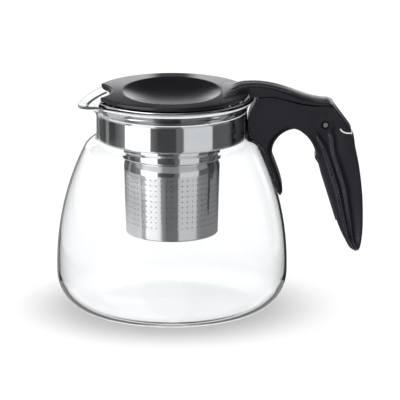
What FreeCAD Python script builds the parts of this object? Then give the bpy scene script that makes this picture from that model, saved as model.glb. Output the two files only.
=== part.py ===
import FreeCAD, Part
import math
import os

import Sketcher
from FreeCAD import Vector

# Glass teapot: blown jug with a pulled spout, steel infuser in its neck, black lid on a lever arm
# that turns on a pin in the handle. Millimetres, +Z up, origin on the jug's axis at its flat base.
# The spout points to -X and the handle to +X.

driving_sizes = {
    # glass jug
    "body_radius": 75.0,
    "corner_radius": 25.0,
    "side_height": 30.0,
    "side_radius": 175.0,
    "shoulder_height": 112.0,
    "shoulder_radius": 9.0,
    "neck_radius": 49.0,
    "neck_fillet": 2.5,
    "glass_wall": 1.5,
    "base_wall": 2.6,
    "rim_height": 141.0,
    "rim_radius": 53.7,
    "flare_depth": 13.0,
    "neck_run": 7.0,
    "lip_angle": 52.0,
    "spout_reach": 61.0,
    "spout_drop": 5.5,
    "spout_spread": 24.0,
    "spout_angle": 8.0,
    # steel infuser
    "steel_wall": 0.6,
    "collar_gap": 0.25,
    "collar_depth": 25.5,
    "flange_lift": 0.25,
    "flange_inset": 0.6,
    "sleeve_radius": 31.5,
    "sleeve_length": 14.0,
    "groove_depth": 2.0,
    "groove_height": 3.0,
    "basket_length": 48.0,
    "basket_taper": 1.5,
    "basket_lip": 4.0,
    "hole_diameter": 1.5,
    "hole_columns": 28.0,
    "hole_rows": 9.0,
    "hole_pitch": 3.7,
    "floor_hole_diameter": 2.2,
    # lid
    "lid_radius": 50.0,
    "lid_edge": 3.2,
    "lid_gap": 0.3,
    "dish_length": 63.0,
    "dish_width": 76.0,
    "dish_depth": 6.0,
    "lid_wall": 1.6,
    "notch_radius": 32.0,
    "notch_depth": 11.0,
    "liner_radius": 37.5,
    "liner_depth": 6.0,
    "screw_diameter": 2.9,
    "screw_head": 5.2,
    "screw_head_height": 1.8,
    "screw_length": 5.0,
    "screw_spacing": 14.0,
    "screw_inset": 7.8,
    # lid arm and hinge
    "arm_width": 20.0,
    "arm_rise": 6.0,
    "arm_root": 17.0,
    "arm_clearance": 0.8,
    "pin_reach": 50.6,
    "pin_drop": 17.4,
    "pin_diameter": 3.0,
    "pin_inset": 0.5,
    "running_gap": 0.05,
    "hub_radius": 6.0,
    "tail_reach": 17.6,
    "slot_width": 13.2,
    "slot_gap": 0.3,
    # handle
    "handle_width": 20.0,
    "tip_width": 15.0,
    "handle_round": 1.5,
    "recess_diameter": 5.6,
    "recess_depth": 1.3,
    "pad_thickness": 1.0,
    "pad_width": 14.0,
    "insert_width": 9.0,
    "insert_thickness": 2.4,
    "seat_gap": 0.1,
    "cavity_depth": 7.0,
    "flute_width": 2.2,
    "flute_depth": 0.8,
}

doc = FreeCAD.newDocument("glass_teapot")
sheet = doc.addObject("Spreadsheet::Sheet", "Sizes")
for row, (alias, number) in enumerate(driving_sizes.items(), start=1):
    sheet.set("A%d" % row, alias)
    sheet.set("B%d" % row, str(number))
    sheet.setAlias("B%d" % row, alias)
doc.recompute()


def size(alias):
    return float(sheet.get(alias))


def evaluate(expression):
    return float(sheet.evalExpression(expression))


def primitive(kind, name, place=(), **bound):
    item = doc.addObject("Part::" + kind, name)
    for prop, expression in bound.items():
        item.setExpression(prop, expression)
    for axis, expression in zip("xyz", place):
        item.setExpression("Placement.Base." + axis, expression)
    return item


def across(item):
    # lay a cylinder along Y instead of Z
    item.Placement.Rotation = FreeCAD.Rotation(Vector(1, 0, 0), 90)
    return item


def combine(kind, name, base, tool):
    item = doc.addObject("Part::" + kind, name)
    item.Base = base
    item.Tool = tool
    return item


def gather(name, items):
    item = doc.addObject("Part::Compound", name)
    item.Links = items
    return item


def solid_feature(name, shape):
    item = doc.addObject("Part::Feature", name)
    item.Shape = shape
    return item


def origin_plane(body, role):
    return next(plane for plane in body.Origin.OriginFeatures if plane.Role == role)


def bind_point(sketch, line, expressions):
    # tie the start of a sketch line to two expressions, measured from the sketch origin
    for kind, axis, expression in zip(("DistanceX", "DistanceY"), (-2, -1), expressions):
        number = evaluate(expression)
        if abs(number) < 1e-9:
            sketch.addConstraint(Sketcher.Constraint("PointOnObject", line, 1, axis))
        else:
            index = sketch.addConstraint(Sketcher.Constraint(kind, -1, 1, line, 1, number))
            sketch.setExpression("Constraints[%d]" % index, expression)


def bound_polygon(body, name, role, corners):
    sketch = body.newObject("Sketcher::SketchObject", name)
    sketch.AttachmentSupport = (origin_plane(body, role), [""])
    sketch.MapMode = "FlatFace"
    spots = [Vector(evaluate(u), evaluate(v), 0) for u, v in corners]
    for line, spot in enumerate(spots):
        sketch.addGeometry(Part.LineSegment(spot, spots[(line + 1) % len(spots)]), False)
    for line, corner in enumerate(corners):
        sketch.addConstraint(Sketcher.Constraint("Coincident", line, 2, (line + 1) % len(corners), 1))
        bind_point(sketch, line, corner)
    return sketch


def turned_body(name, corners):
    # a piece turned about Z from corners given as radius and height
    body = doc.addObject("PartDesign::Body", name)
    sketch = bound_polygon(body, name + "_section", "XZ_Plane", corners)
    turn = body.newObject("PartDesign::Revolution", name + "_turn")
    turn.Profile = sketch
    turn.ReferenceAxis = (sketch, ["V_Axis"])
    turn.Angle = 360
    body.Tip = turn
    doc.recompute()
    return body


# Glass jug

neck_top = size("rim_height") - size("flare_depth") - size("neck_run")


def jug_profile(grow, floor):
    # half section of the jug below its flare, grown outwards by grow, standing on height floor
    corner = size("corner_radius") + grow
    side = size("side_radius") + grow
    shoulder = size("shoulder_radius") + grow
    neck = size("neck_radius") + grow
    fillet = size("neck_fillet") - grow
    wall = size("body_radius") + grow
    side_centre = Vector(size("body_radius") - size("side_radius"), 0, size("side_height"))
    drop = size("shoulder_height") - size("shoulder_radius") - side_centre.z
    span = size("side_radius") - size("shoulder_radius")
    shoulder_centre = side_centre + Vector(math.sqrt(span**2 - drop**2), 0, drop)
    offset = neck + fillet - shoulder_centre.x
    fillet_centre = shoulder_centre + Vector(offset, 0, math.sqrt((shoulder + fillet)**2 - offset**2))
    outward = (shoulder_centre - side_centre).normalize()
    joint = side_centre + outward * side
    meet = shoulder_centre + (fillet_centre - shoulder_centre).normalize() * shoulder
    corner_centre = Vector(wall - corner, 0, floor + corner)

    def bulge(centre, radius, start, end):
        middle = ((start - centre).normalize() + (end - centre).normalize()).normalize()
        return Part.Arc(start, centre + middle * radius, end).toShape()

    foot = Vector(corner_centre.x, 0, floor)
    hip = Vector(wall, 0, corner_centre.z)
    waist = Vector(wall, 0, side_centre.z)
    neck_foot = Vector(neck, 0, fillet_centre.z)
    edges = [
        Part.LineSegment(Vector(0, 0, floor), foot).toShape(),
        bulge(corner_centre, corner, foot, hip),
        Part.LineSegment(hip, waist).toShape(),
        bulge(side_centre, side, waist, joint),
        bulge(shoulder_centre, shoulder, joint, meet),
        bulge(fillet_centre, fillet, meet, neck_foot),
    ]
    return edges, neck_foot


def turned_solid(edges, tops):
    # close a half section over its top points and turn it about Z
    last = edges[-1].Vertexes[-1].Point
    for spot in tops:
        edges = edges + [Part.LineSegment(last, spot).toShape()]
        last = spot
    edges = edges + [Part.LineSegment(last, edges[0].Vertexes[0].Point).toShape()]
    face = Part.Face(Part.Wire(edges))
    return face.revolve(Vector(0, 0, 0), Vector(0, 0, 1), 360)


def jug_solid(grow, floor):
    edges, neck_foot = jug_profile(grow, floor)
    return turned_solid(edges, [Vector(neck_foot.x, 0, neck_top), Vector(0, 0, neck_top)])


def jug_radius(height):
    # outer radius of the jug's long side arc at a height
    centre = size("body_radius") - size("side_radius")
    return centre + math.sqrt(size("side_radius")**2 - (height - size("side_height"))**2)


def blend(first, second, share):
    return first + (second - first) * share


def rim_curve(azimuth):
    # mid line of the flared rim at an azimuth: a cubic from the neck to the lip, pulled out and
    # down round the spout by a bell curve of the angle from -X
    share = math.exp(-((azimuth - 180.0) / size("spout_spread"))**2)
    half = size("glass_wall") / 2
    start_height = size("rim_height") - size("flare_depth") - blend(0.0, 3.0, share)
    start = Vector(size("neck_radius") - half, 0, start_height)
    lip = Vector(blend(size("rim_radius"), size("spout_reach"), share) - half, 0,
                 size("rim_height") - blend(0.0, size("spout_drop"), share) - half)
    tilt = math.radians(blend(size("lip_angle"), size("spout_angle"), share))
    rise = size("flare_depth") * blend(0.4, 0.55, share)
    pull = size("flare_depth") * blend(0.45, 0.55, share)
    return start, start + Vector(0, 0, rise), lip - Vector(math.cos(tilt), 0, math.sin(tilt)) * pull, lip


def rim_section(azimuth, steps=5, lip_steps=5):
    # closed run of (radius, height) points: up the outside, round the lip, down the inside
    half = size("glass_wall") / 2
    curve = Part.BezierCurve()
    curve.setPoles(list(rim_curve(azimuth)))
    start = curve.value(0.0)
    foot = Vector(start.x, 0, neck_top)
    middle = [foot, (foot + start) * 0.5]
    sideways = [Vector(1, 0, 0), Vector(1, 0, 0)]
    for step in range(steps + 1):
        share = step / steps
        along = curve.tangent(share)[0]
        middle.append(curve.value(share))
        sideways.append(Vector(along.z, 0, -along.x))
    outside = [spot + normal * half for spot, normal in zip(middle, sideways)]
    inside = [spot - normal * half for spot, normal in zip(middle, sideways)]
    last = sideways[-1]
    turn = math.atan2(last.z, last.x)
    lip = [middle[-1] + Vector(math.cos(turn + angle), 0, math.sin(turn + angle)) * half
           for angle in (math.pi * step / (lip_steps - 1) for step in range(1, lip_steps - 1))]
    return outside + lip + inside[::-1]


def rim_solid(columns=48):
    azimuths = [360.0 * column / columns for column in range(columns)]
    sections = [rim_section(azimuth) for azimuth in azimuths]
    wires = []
    for level in range(len(sections[0])):
        ring = []
        for azimuth, section in zip(azimuths, sections):
            angle = math.radians(azimuth)
            spot = section[level]
            ring.append(Vector(spot.x * math.cos(angle), spot.x * math.sin(angle), spot.z))
        curve = Part.BSplineCurve()
        curve.interpolate(ring, PeriodicFlag=True)
        wires.append(Part.Wire(curve.toShape()))
    skin = Part.makeLoft(wires, False, False)
    foot = Part.Face(wires[0]).cut(Part.Face(wires[-1]))
    shell = Part.makeCompound(skin.Faces + foot.Faces)
    shell.sewShape(1e-4)
    return Part.Solid(shell.Shells[0] if shell.ShapeType != "Shell" else shell)


def make_jug():
    wall = size("glass_wall")
    hollow = jug_solid(-wall, size("base_wall"))
    body = jug_solid(0.0, 0.0).cut(hollow)
    jug = body.fuse([rim_solid()], 1e-3)
    return solid_feature("glass_jug", jug.Solids[0])


# Steel infuser, turned from sheet

flange_under = "(Sizes.rim_height + Sizes.flange_lift)"
flange_top = "(Sizes.rim_height + Sizes.flange_lift + Sizes.steel_wall)"
flange_edge = "(Sizes.rim_radius - Sizes.flange_inset)"
collar_outside = "(Sizes.neck_radius - Sizes.glass_wall - Sizes.collar_gap)"
collar_inside = "(" + collar_outside + " - Sizes.steel_wall)"
collar_floor = "(Sizes.rim_height - Sizes.collar_depth)"
sleeve_inside = "(Sizes.sleeve_radius - Sizes.steel_wall)"
sleeve_foot = "(" + collar_floor + " - Sizes.sleeve_length)"
groove_radius = "(Sizes.sleeve_radius - Sizes.groove_depth)"
basket_shoulder = "(" + sleeve_foot + " - Sizes.groove_height)"
basket_base = "(" + basket_shoulder + " - Sizes.basket_length)"
basket_foot_radius = "(Sizes.sleeve_radius - Sizes.basket_taper)"


def make_collar():
    steel = "Sizes.steel_wall"
    return turned_body("infuser_collar", [
        (flange_edge, flange_under),
        (flange_edge, flange_top),
        (collar_inside, flange_top),
        (collar_inside, collar_floor + " + " + steel),
        (sleeve_inside, collar_floor + " + " + steel),
        (sleeve_inside, sleeve_foot + " + " + steel),
        (groove_radius, sleeve_foot + " + " + steel),
        (groove_radius, sleeve_foot),
        ("Sizes.sleeve_radius", sleeve_foot),
        ("Sizes.sleeve_radius", collar_floor),
        (collar_outside, collar_floor),
        (collar_outside, flange_under),
    ])


def wall_holes():
    # rows of radial drills, every second row turned by half a column
    columns = int(size("hole_columns"))
    reach = size("sleeve_radius")
    drills = []
    for row in range(int(size("hole_rows"))):
        height = evaluate(basket_shoulder) - size("hole_pitch") * (row + 1)
        for column in range(columns):
            angle = 2 * math.pi * (column + row % 2 / 2) / columns
            outward = Vector(math.cos(angle), math.sin(angle), 0)
            start = outward * (reach / 2) + Vector(0, 0, height)
            drills.append(Part.makeCylinder(size("hole_diameter") / 2, reach, start, outward))
    return solid_feature("wall_holes", Part.makeCompound(drills))


def make_basket():
    steel = "Sizes.steel_wall"
    neck = "(" + groove_radius + " - Sizes.seat_gap)"
    hook = "(" + sleeve_inside + " - Sizes.seat_gap)"
    hook_under = "(" + sleeve_foot + " + Sizes.steel_wall)"
    cup = turned_body("basket_cup", [
        (hook, hook_under),
        (hook, hook_under + " + " + steel),
        (neck + " - " + steel, hook_under + " + " + steel),
        (neck + " - " + steel, basket_shoulder + " - " + steel),
        ("Sizes.sleeve_radius - " + steel, basket_shoulder + " - " + steel + " * 2"),
        (basket_foot_radius + " - " + steel, basket_base + " + " + steel),
        (basket_foot_radius + " - Sizes.basket_lip", basket_base + " + " + steel),
        (basket_foot_radius + " - Sizes.basket_lip", basket_base),
        (basket_foot_radius, basket_base),
        ("Sizes.sleeve_radius", basket_shoulder + " - " + steel),
        (neck, basket_shoulder),
        (neck, hook_under),
    ])
    return combine("Cut", "infuser_basket", cup, wall_holes())


def make_basket_floor():
    # perforated disc lying on the basket's turned-in lip
    steel = "Sizes.steel_wall"
    radius = "(" + basket_foot_radius + " - " + steel + " - Sizes.seat_gap)"
    disc = primitive("Cylinder", "floor_disc", ("0", "0", basket_base + " + " + steel),
                     Radius=radius, Height=steel)
    doc.recompute()
    reach = evaluate(basket_foot_radius + " - Sizes.basket_lip")
    pitch = size("hole_pitch") * 2
    holes = []
    for ring in range(1, int(reach / pitch) + 1):
        count = 6 * ring
        for place in range(count):
            angle = 2 * math.pi * place / count
            if ring * pitch + size("floor_hole_diameter") > reach:
                continue
            centre = Vector(ring * pitch * math.cos(angle), ring * pitch * math.sin(angle), 0)
            holes.append((centre.x, centre.y))
    level = evaluate(basket_base)
    drills = [Part.makeCylinder(size("floor_hole_diameter") / 2, 4 * size("steel_wall"), Vector(x, y, level))
              for x, y in holes]
    tool = solid_feature("floor_holes", Part.makeCompound(drills))
    return combine("Cut", "basket_floor", disc, tool)


# Lid

lid_under = "(" + flange_top + " + Sizes.lid_gap)"
lid_top = "(" + lid_under + " + Sizes.lid_edge)"


def make_lid_cover():
    plate = primitive("Cylinder", "lid_plate", ("0", "0", lid_under),
                      Radius="Sizes.lid_radius", Height="Sizes.lid_edge")
    half_space = primitive("Cylinder", "bowl_limit", ("0", "0", lid_under + " - Sizes.dish_depth * 2"),
                           Radius="Sizes.lid_radius", Height="Sizes.dish_depth * 2 + Sizes.lid_edge / 2")
    bowl = primitive("Ellipsoid", "dish_bowl", ("0", "0", lid_top),
                     Radius1="Sizes.dish_depth + Sizes.lid_wall",
                     Radius2="Sizes.dish_length / 2 + Sizes.lid_wall",
                     Radius3="Sizes.dish_width / 2 + Sizes.lid_wall")
    dish = primitive("Ellipsoid", "dish_hollow", ("0", "0", lid_top),
                     Radius1="Sizes.dish_depth", Radius2="Sizes.dish_length / 2",
                     Radius3="Sizes.dish_width / 2")
    for ellipsoid in (bowl, dish):
        ellipsoid.Angle1 = -90
    lower_bowl = combine("Common", "lower_bowl", bowl, half_space)
    disc = combine("Fuse", "lid_disc", plate, lower_bowl)
    hollowed = combine("Cut", "lid_hollowed", disc, dish)
    notch = primitive("Cylinder", "pour_notch",
                      ("-(Sizes.lid_radius - Sizes.notch_depth + Sizes.notch_radius)", "0",
                       lid_under + " - Sizes.lid_edge"),
                      Radius="Sizes.notch_radius", Height="Sizes.lid_edge * 3")
    notched = combine("Cut", "lid_notched", hollowed, notch)
    screw_holes = gather("screw_holes", [
        primitive("Cylinder", "screw_hole_%s" % side, (screw_x, sign + screw_y, lid_under + " - 1"),
                  Radius="Sizes.screw_diameter / 2", Height="Sizes.lid_edge + 2")
        for side, sign in (("near", "-"), ("far", ""))])
    return combine("Cut", "lid_cover", notched, screw_holes)


screw_x = "(Sizes.lid_radius - Sizes.screw_inset)"
screw_y = "(Sizes.screw_spacing / 2)"


def make_lid_liner():
    # shallow cup under the cover that closes the hollow round the dish
    floor = "(" + lid_under + " - Sizes.liner_depth)"
    inside = "Sizes.liner_radius - Sizes.lid_wall"
    return turned_body("lid_liner", [
        ("0", floor),
        ("Sizes.liner_radius", floor),
        ("Sizes.liner_radius", lid_under),
        (inside, lid_under),
        (inside, floor + " + Sizes.lid_wall / 2"),
        ("0", floor + " + Sizes.lid_wall / 2"),
    ])


def make_lid_screws():
    screws = []
    for side, sign in (("near", "-"), ("far", "")):
        place = (screw_x, sign + screw_y)
        head = primitive("Cylinder", "screw_head_" + side, place + (lid_under + " - Sizes.screw_head_height",),
                         Radius="Sizes.screw_head / 2", Height="Sizes.screw_head_height")
        shank = primitive("Cylinder", "screw_shank_" + side, place + (lid_under,),
                          Radius="Sizes.screw_diameter / 2", Height="Sizes.screw_length")
        screws.append(combine("Fuse", "screw_" + side, head, shank))
    return gather("lid_screws", screws)


# Outlines in the XZ plane

pin_x = size("neck_radius") + size("pin_reach")
pin_z = size("rim_height") - size("pin_drop")


def near_neck(reach, height):
    # a point set out from the neck's radius and the rim's height
    return Vector(size("neck_radius") + reach, 0, size("rim_height") + height)


def near_pin(reach, height):
    return Vector(pin_x + reach, 0, pin_z + height)


def near_glass(gap, height):
    # a point standing off the jug's side at a height below the rim
    level = size("rim_height") + height
    return Vector(jug_radius(level) + gap, 0, level)


def spline(spots):
    curve = Part.BSplineCurve()
    curve.interpolate(spots)
    return curve.toShape()


def lines(spots):
    return [Part.LineSegment(first, second).toShape() for first, second in zip(spots, spots[1:])]


def extrude(edges, width):
    face = Part.Face(Part.Wire(edges))
    solid = face.extrude(Vector(0, width, 0))
    solid.translate(Vector(0, -width / 2, 0))
    return solid


def make_arm():
    # wide strip from the lid's dish over the handle's cheeks to the thumb, with a narrow lever below
    # it between the cheeks, a hooked hub on the pin and a tail behind it
    top = evaluate(lid_top)
    plate_edge = size("lid_radius")
    root = size("arm_root")
    clear = size("arm_clearance")
    crest = near_neck(3.0, top - size("rim_height") + size("arm_rise") - 1.0)
    upper = [Vector(plate_edge - root, 0, top + 0.8), crest - Vector(9, 0, 1.2), crest,
             near_neck(15.8, 7.6), near_neck(28, 3.4), near_neck(40, -0.7), near_neck(48, -1.9), near_neck(54, -2.6)]
    flush = cheek_line(clear)
    under = flush[::-1] + [Vector(plate_edge + 0.5, 0, flush[0].z + 1.2),
                           Vector(plate_edge + 0.5, 0, top), Vector(plate_edge - root, 0, top)]
    strip = extrude([spline(upper)] + lines([upper[-1]] + under + [upper[0]]), size("arm_width"))
    narrow = size("slot_width") - 2 * size("slot_gap")
    tail = size("tail_reach")
    back = [near_neck(30, 2.6), near_neck(43, -0.8), near_neck(54.2, -2.2), near_neck(55.8, -3.4),
            near_pin(tail * 0.86, -1.4)]
    knob = near_pin(tail * 0.9, -tail * 0.33)
    inner = [near_pin(11.0, -5.2), near_pin(6.6, 1.2)]
    web = [near_pin(-5.4, 2.6), near_pin(-9.4, 7.6), near_pin(-15.5, 11.4), near_neck(30, 0.0)]
    lever = extrude(lines(back + [knob + Vector(0.8, 0, 1.6), knob + Vector(0, 0, -1.4)] + inner + web
                          + [back[0]]), narrow)
    depth = Vector(0, narrow / 2, 0)
    hub = Part.makeCylinder(size("hub_radius"), narrow, near_pin(0, 0) - depth, Vector(0, 1, 0))
    bore_radius = size("pin_diameter") / 2 + size("running_gap")
    bore = Part.makeCylinder(bore_radius, narrow, near_pin(0, 0) - depth, Vector(0, 1, 0))
    mouth = Part.makeBox(2 * bore_radius, narrow, 2 * size("hub_radius"),
                         near_pin(-bore_radius, -2 * size("hub_radius")) - depth)
    arm = strip.fuse([lever, hub]).removeSplitter().cut([bore, mouth])
    drills = [Part.makeCylinder(size("screw_diameter") / 2, size("screw_length") - size("lid_edge"),
                                Vector(evaluate(screw_x), side * evaluate(screw_y), top)) for side in (-1, 1)]
    return solid_feature("lid_arm", arm.cut(drills).Solids[0])


def cheek_line(lift=0.0):
    # the handle's top edge, raised by lift for the arm that lies over it
    spots = [near_neck(8, 0.6), near_neck(18, 0.8), near_neck(36, -3.8), near_neck(44, -4.8), near_neck(54, -5.0)]
    return [spot + Vector(0, 0, lift) for spot in spots]


def finger_side():
    # the grip's finger side from its tip up to the arch
    return [near_neck(63.3, -95.5), near_neck(58, -82), near_neck(52.2, -63.2), near_neck(48.4, -51),
            near_neck(45.4, -39.5), near_neck(41.8, -29.6)]


def grip_back():
    # the grip's back from the notch under the thumb tail down to its rounded tip
    return [near_neck(64.8, -20.6), near_neck(68.4, -25.2), near_neck(70.5, -36.3), near_neck(72.5, -46),
            near_neck(74.2, -57), near_neck(75.3, -73), near_neck(74.9, -92.8), near_neck(73.7, -100.7),
            near_neck(70.7, -104.8), near_neck(67.6, -103.4)]


def handle_outline():
    top = [near_neck(-4, 0.6)] + cheek_line() + [near_neck(64.8, -20.6)]
    arch = [near_neck(37.6, -24.4), near_neck(30.4, -20.7), near_neck(23, -23.4), near_neck(17.6, -29.5)]
    tongue = [near_glass(6.4, -37), near_glass(5.2, -46), near_glass(4.8, -55.5), near_glass(3.9, -61.7),
              near_glass(1.9, -65.4)]
    inside = [near_glass(-4, -62), near_neck(-4, -30), near_neck(-4, 0.6)]
    edge = spline(grip_back() + finger_side() + arch + tongue)
    return lines(top) + [edge] + lines([tongue[-1]] + inside)


def clearance_solid(gap):
    # the jug grown by gap, with a cone that clears its flared rim
    edges, neck_foot = jug_profile(gap, -gap)
    rim = size("rim_radius") + gap
    level = size("rim_height") - size("flare_depth")
    tops = [Vector(neck_foot.x, 0, level - gap), Vector(rim, 0, level + size("flare_depth") / 2),
            Vector(rim, 0, size("rim_height") + size("lid_edge") * 2),
            Vector(0, 0, size("rim_height") + size("lid_edge") * 2)]
    return turned_solid(edges, tops)


def slot_outline():
    # room between the cheeks for the lever and for the swing of its tail
    sweep = size("tail_reach") + 2 * size("slot_gap") + 0.6
    foot = near_pin(-4.4, -math.sqrt(sweep**2 - 4.4**2))
    low = near_pin(sweep * math.cos(math.radians(-55)), sweep * math.sin(math.radians(-55)))
    exit_spot = near_pin(sweep * math.cos(math.radians(-8)), sweep * math.sin(math.radians(-8)))
    arc = Part.Arc(foot, low, exit_spot).toShape()
    walls = [exit_spot, near_pin(30, 2), near_pin(30, 30), near_neck(28, 12), near_neck(28, -8.4),
             near_pin(-10.6, 3.4), near_pin(-7.4, -4.6), foot]
    return [arc] + lines(walls)


def grip_strip(outer, inner):
    # band along the finger side, between two offsets into the grip
    side = finger_side()[1:5]
    path = []
    for first, second in zip(side, side[1:]):
        along = (second - first).normalize()
        path.append((first, Vector(along.z, 0, -along.x)))
    path.append((side[-1], path[-1][1]))
    left = [spot + normal * outer for spot, normal in path]
    right = [spot + normal * inner for spot, normal in path]
    return lines(left + right[::-1] + [left[0]])


def grip_wedge(inset):
    # the handle's width seen from behind: even at the cheeks, narrowing down the grip
    wide = size("handle_width") / 2 - inset
    tip = size("tip_width") / 2 - inset
    top, waist, low = (near_neck(0, height).z for height in (10, -25, -110))
    corners = [(-wide, waist), (-tip, low), (tip, low), (wide, waist), (wide, top), (-wide, top), (-wide, waist)]
    outline = lines([Vector(0, y, z) for y, z in corners])
    return Part.Face(Part.Wire(outline)).extrude(Vector(2 * pin_x, 0, 0))


def grip_flutes():
    # two lengthwise grooves in each side of the grip, at shares of its depth from the finger side
    finger = finger_side()[:5]
    back = grip_back()[::-1][2:7]
    grooves = []
    for share in (0.3, 0.58):
        path = [front + (rear - front) * share for front, rear in zip(finger, back)]
        sideways = Vector(size("flute_width") / 2, 0, 0)
        band = [spot - sideways for spot in path] + [spot + sideways for spot in path[::-1]]
        grooves.append(extrude(lines(band + [band[0]]), size("handle_width") * 2))
    core = grip_wedge(size("flute_depth"))
    return [groove.cut(core) for groove in grooves]


def make_handle():
    width = size("handle_width")
    blank = extrude(handle_outline(), width)
    rims = [edge for edge in blank.Edges
            if abs(abs(edge.CenterOfMass.y) - width / 2) < 1e-6 and edge.CenterOfMass.x > size("neck_radius")]
    blank = blank.makeFillet(size("handle_round"), rims).common(grip_wedge(0.0))
    slot = extrude(slot_outline(), size("slot_width"))
    bore = Part.makeCylinder(size("pin_diameter") / 2, width, near_pin(0, 0) - Vector(0, width / 2, 0),
                             Vector(0, 1, 0))
    recesses = [Part.makeCylinder(size("recess_diameter") / 2, size("recess_depth"),
                                  near_pin(0, 0) + Vector(0, side * width / 2, 0), Vector(0, -side, 0))
                for side in (-1, 1)]
    cavity = extrude(grip_strip(-3.0, size("cavity_depth")), size("insert_width") + 2 * size("seat_gap"))
    body = blank.cut([clearance_solid(size("pad_thickness")), slot, bore, cavity] + recesses + grip_flutes())
    return solid_feature("handle_body", max(body.Solids, key=lambda solid: solid.Volume))


def make_insert():
    # cover let into the finger side of the hollow grip
    strip = extrude(grip_strip(-0.6, size("insert_thickness")), size("insert_width"))
    return solid_feature("grip_insert", strip)


def make_pad():
    # cured silicone between the handle's saddle and the glass
    outer = clearance_solid(size("pad_thickness"))
    inner = jug_solid(0.0, 0.0)
    low = near_neck(0, -60).z
    window = Part.makeBox(size("body_radius"), size("pad_width"), neck_top - low,
                          Vector(0, -size("pad_width") / 2, low))
    return solid_feature("saddle_pad", outer.cut(inner).common(window).Solids[0])


def make_pin():
    length = "(Sizes.handle_width - 2 * Sizes.pin_inset)"
    pin = primitive("Cylinder", "hinge_pin",
                    ("Sizes.neck_radius + Sizes.pin_reach", length + " / 2", "Sizes.rim_height - Sizes.pin_drop"),
                    Radius="Sizes.pin_diameter / 2", Height=length)
    return across(pin)


makers = {
    "glass_jug": make_jug,
    "infuser_collar": make_collar,
    "infuser_basket": make_basket,
    "basket_floor": make_basket_floor,
    "lid_cover": make_lid_cover,
    "lid_liner": make_lid_liner,
    "lid_screws": make_lid_screws,
    "lid_arm": make_arm,
    "hinge_pin": make_pin,
    "handle_body": make_handle,
    "grip_insert": make_insert,
    "saddle_pad": make_pad,
}
nodes = {name: maker() for name, maker in makers.items()}
doc.recompute()

for item in doc.Objects:
    assert not {"Invalid", "Error"} & set(item.State), item.Name + " failed"
for name, item in nodes.items():
    item.Label = name
    shape = item.Shape
    assert not shape.isNull() and shape.isValid(), name + " has a bad shape"
    assert shape.Solids, name + " has no solid"
    print("%-16s %d solids, %9.1f mm3" % (name, len(shape.Solids), shape.Volume))

os.makedirs("parts", exist_ok=True)
for name, item in nodes.items():
    item.Shape.exportStep("parts/" + name + ".step")
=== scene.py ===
import math

import bmesh
import bpy
import numpy as np
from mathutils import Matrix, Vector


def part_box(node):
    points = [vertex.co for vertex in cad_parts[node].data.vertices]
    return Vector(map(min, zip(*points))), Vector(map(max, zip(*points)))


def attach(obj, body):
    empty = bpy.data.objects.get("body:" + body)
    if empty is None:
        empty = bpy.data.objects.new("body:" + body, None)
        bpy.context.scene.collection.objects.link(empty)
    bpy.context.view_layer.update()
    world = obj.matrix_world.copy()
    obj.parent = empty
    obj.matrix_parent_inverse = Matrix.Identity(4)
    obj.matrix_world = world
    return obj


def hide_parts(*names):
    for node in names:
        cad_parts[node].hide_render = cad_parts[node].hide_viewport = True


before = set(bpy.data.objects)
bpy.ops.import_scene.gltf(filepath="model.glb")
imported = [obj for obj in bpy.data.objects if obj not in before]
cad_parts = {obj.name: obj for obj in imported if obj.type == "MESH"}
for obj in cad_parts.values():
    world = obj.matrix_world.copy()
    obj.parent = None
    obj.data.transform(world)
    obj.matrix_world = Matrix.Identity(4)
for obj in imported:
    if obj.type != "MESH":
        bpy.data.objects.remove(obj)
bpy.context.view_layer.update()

mm = 0.001
print("frame loaded:", ", ".join(sorted(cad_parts)))


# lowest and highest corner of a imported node, in millimetres
def nodeBox(name):
    low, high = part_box(name)
    return np.array(low) / mm, np.array(high) / mm


# shared shape helpers

# smooth step from 0 at low to 1 at high
def ease(value, low, high):
    t = np.clip((value - low) / (high - low), 0, 1)
    return t * t * (3 - 2 * t)


def mix(first, second, share):
    return first + (second - first) * share


# rises from 0 to 1 over the first two places of a span and falls back to 0 over its last two
def hump(value, span):
    return ease(value, *span[:2]) * (1 - ease(value, *span[2:]))


# height of a quarter circle of radius 1 at a share of its width
def quarter(share):
    return np.sqrt(np.maximum(1 - (1 - share) ** 2, 0))


# points from arrays of their coordinates, which are spread to fit each other
def spotsAt(*coordinates):
    return np.stack(np.broadcast_arrays(*coordinates), -1)


# points on a circle: centre plus radius times (cosine, sine) of an even run of angles
def arc(centre, radius, start, stop, count):
    angle = np.radians(np.linspace(start, stop, count))
    return centre + radius * spotsAt(np.cos(angle), np.sin(angle))


# every corner of a closed outline becomes a quadratic curve between two points set back along its sides
def roundCorners(corners, setBack, steps=5):
    corners = np.asarray(corners, float)
    setBack = np.broadcast_to(np.asarray(setBack, float), len(corners))
    before = np.roll(corners, 1, axis=0) - corners
    after = np.roll(corners, -1, axis=0) - corners
    enter = corners + before * (setBack / np.linalg.norm(before, axis=1))[:, None]
    leave = corners + after * (setBack / np.linalg.norm(after, axis=1))[:, None]
    t = np.linspace(0, 1, steps)[None, :, None]
    bend = (1 - t) ** 2 * enter[:, None] + 2 * t * (1 - t) * corners[:, None] + t**2 * leave[:, None]
    along = np.roll(enter, -1, axis=0) - leave
    straight = leave[:, None] + along[:, None] * np.array([0.06, 0.94])[None, :, None]
    return np.concatenate([bend, straight], 1).reshape(-1, 2)


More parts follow.
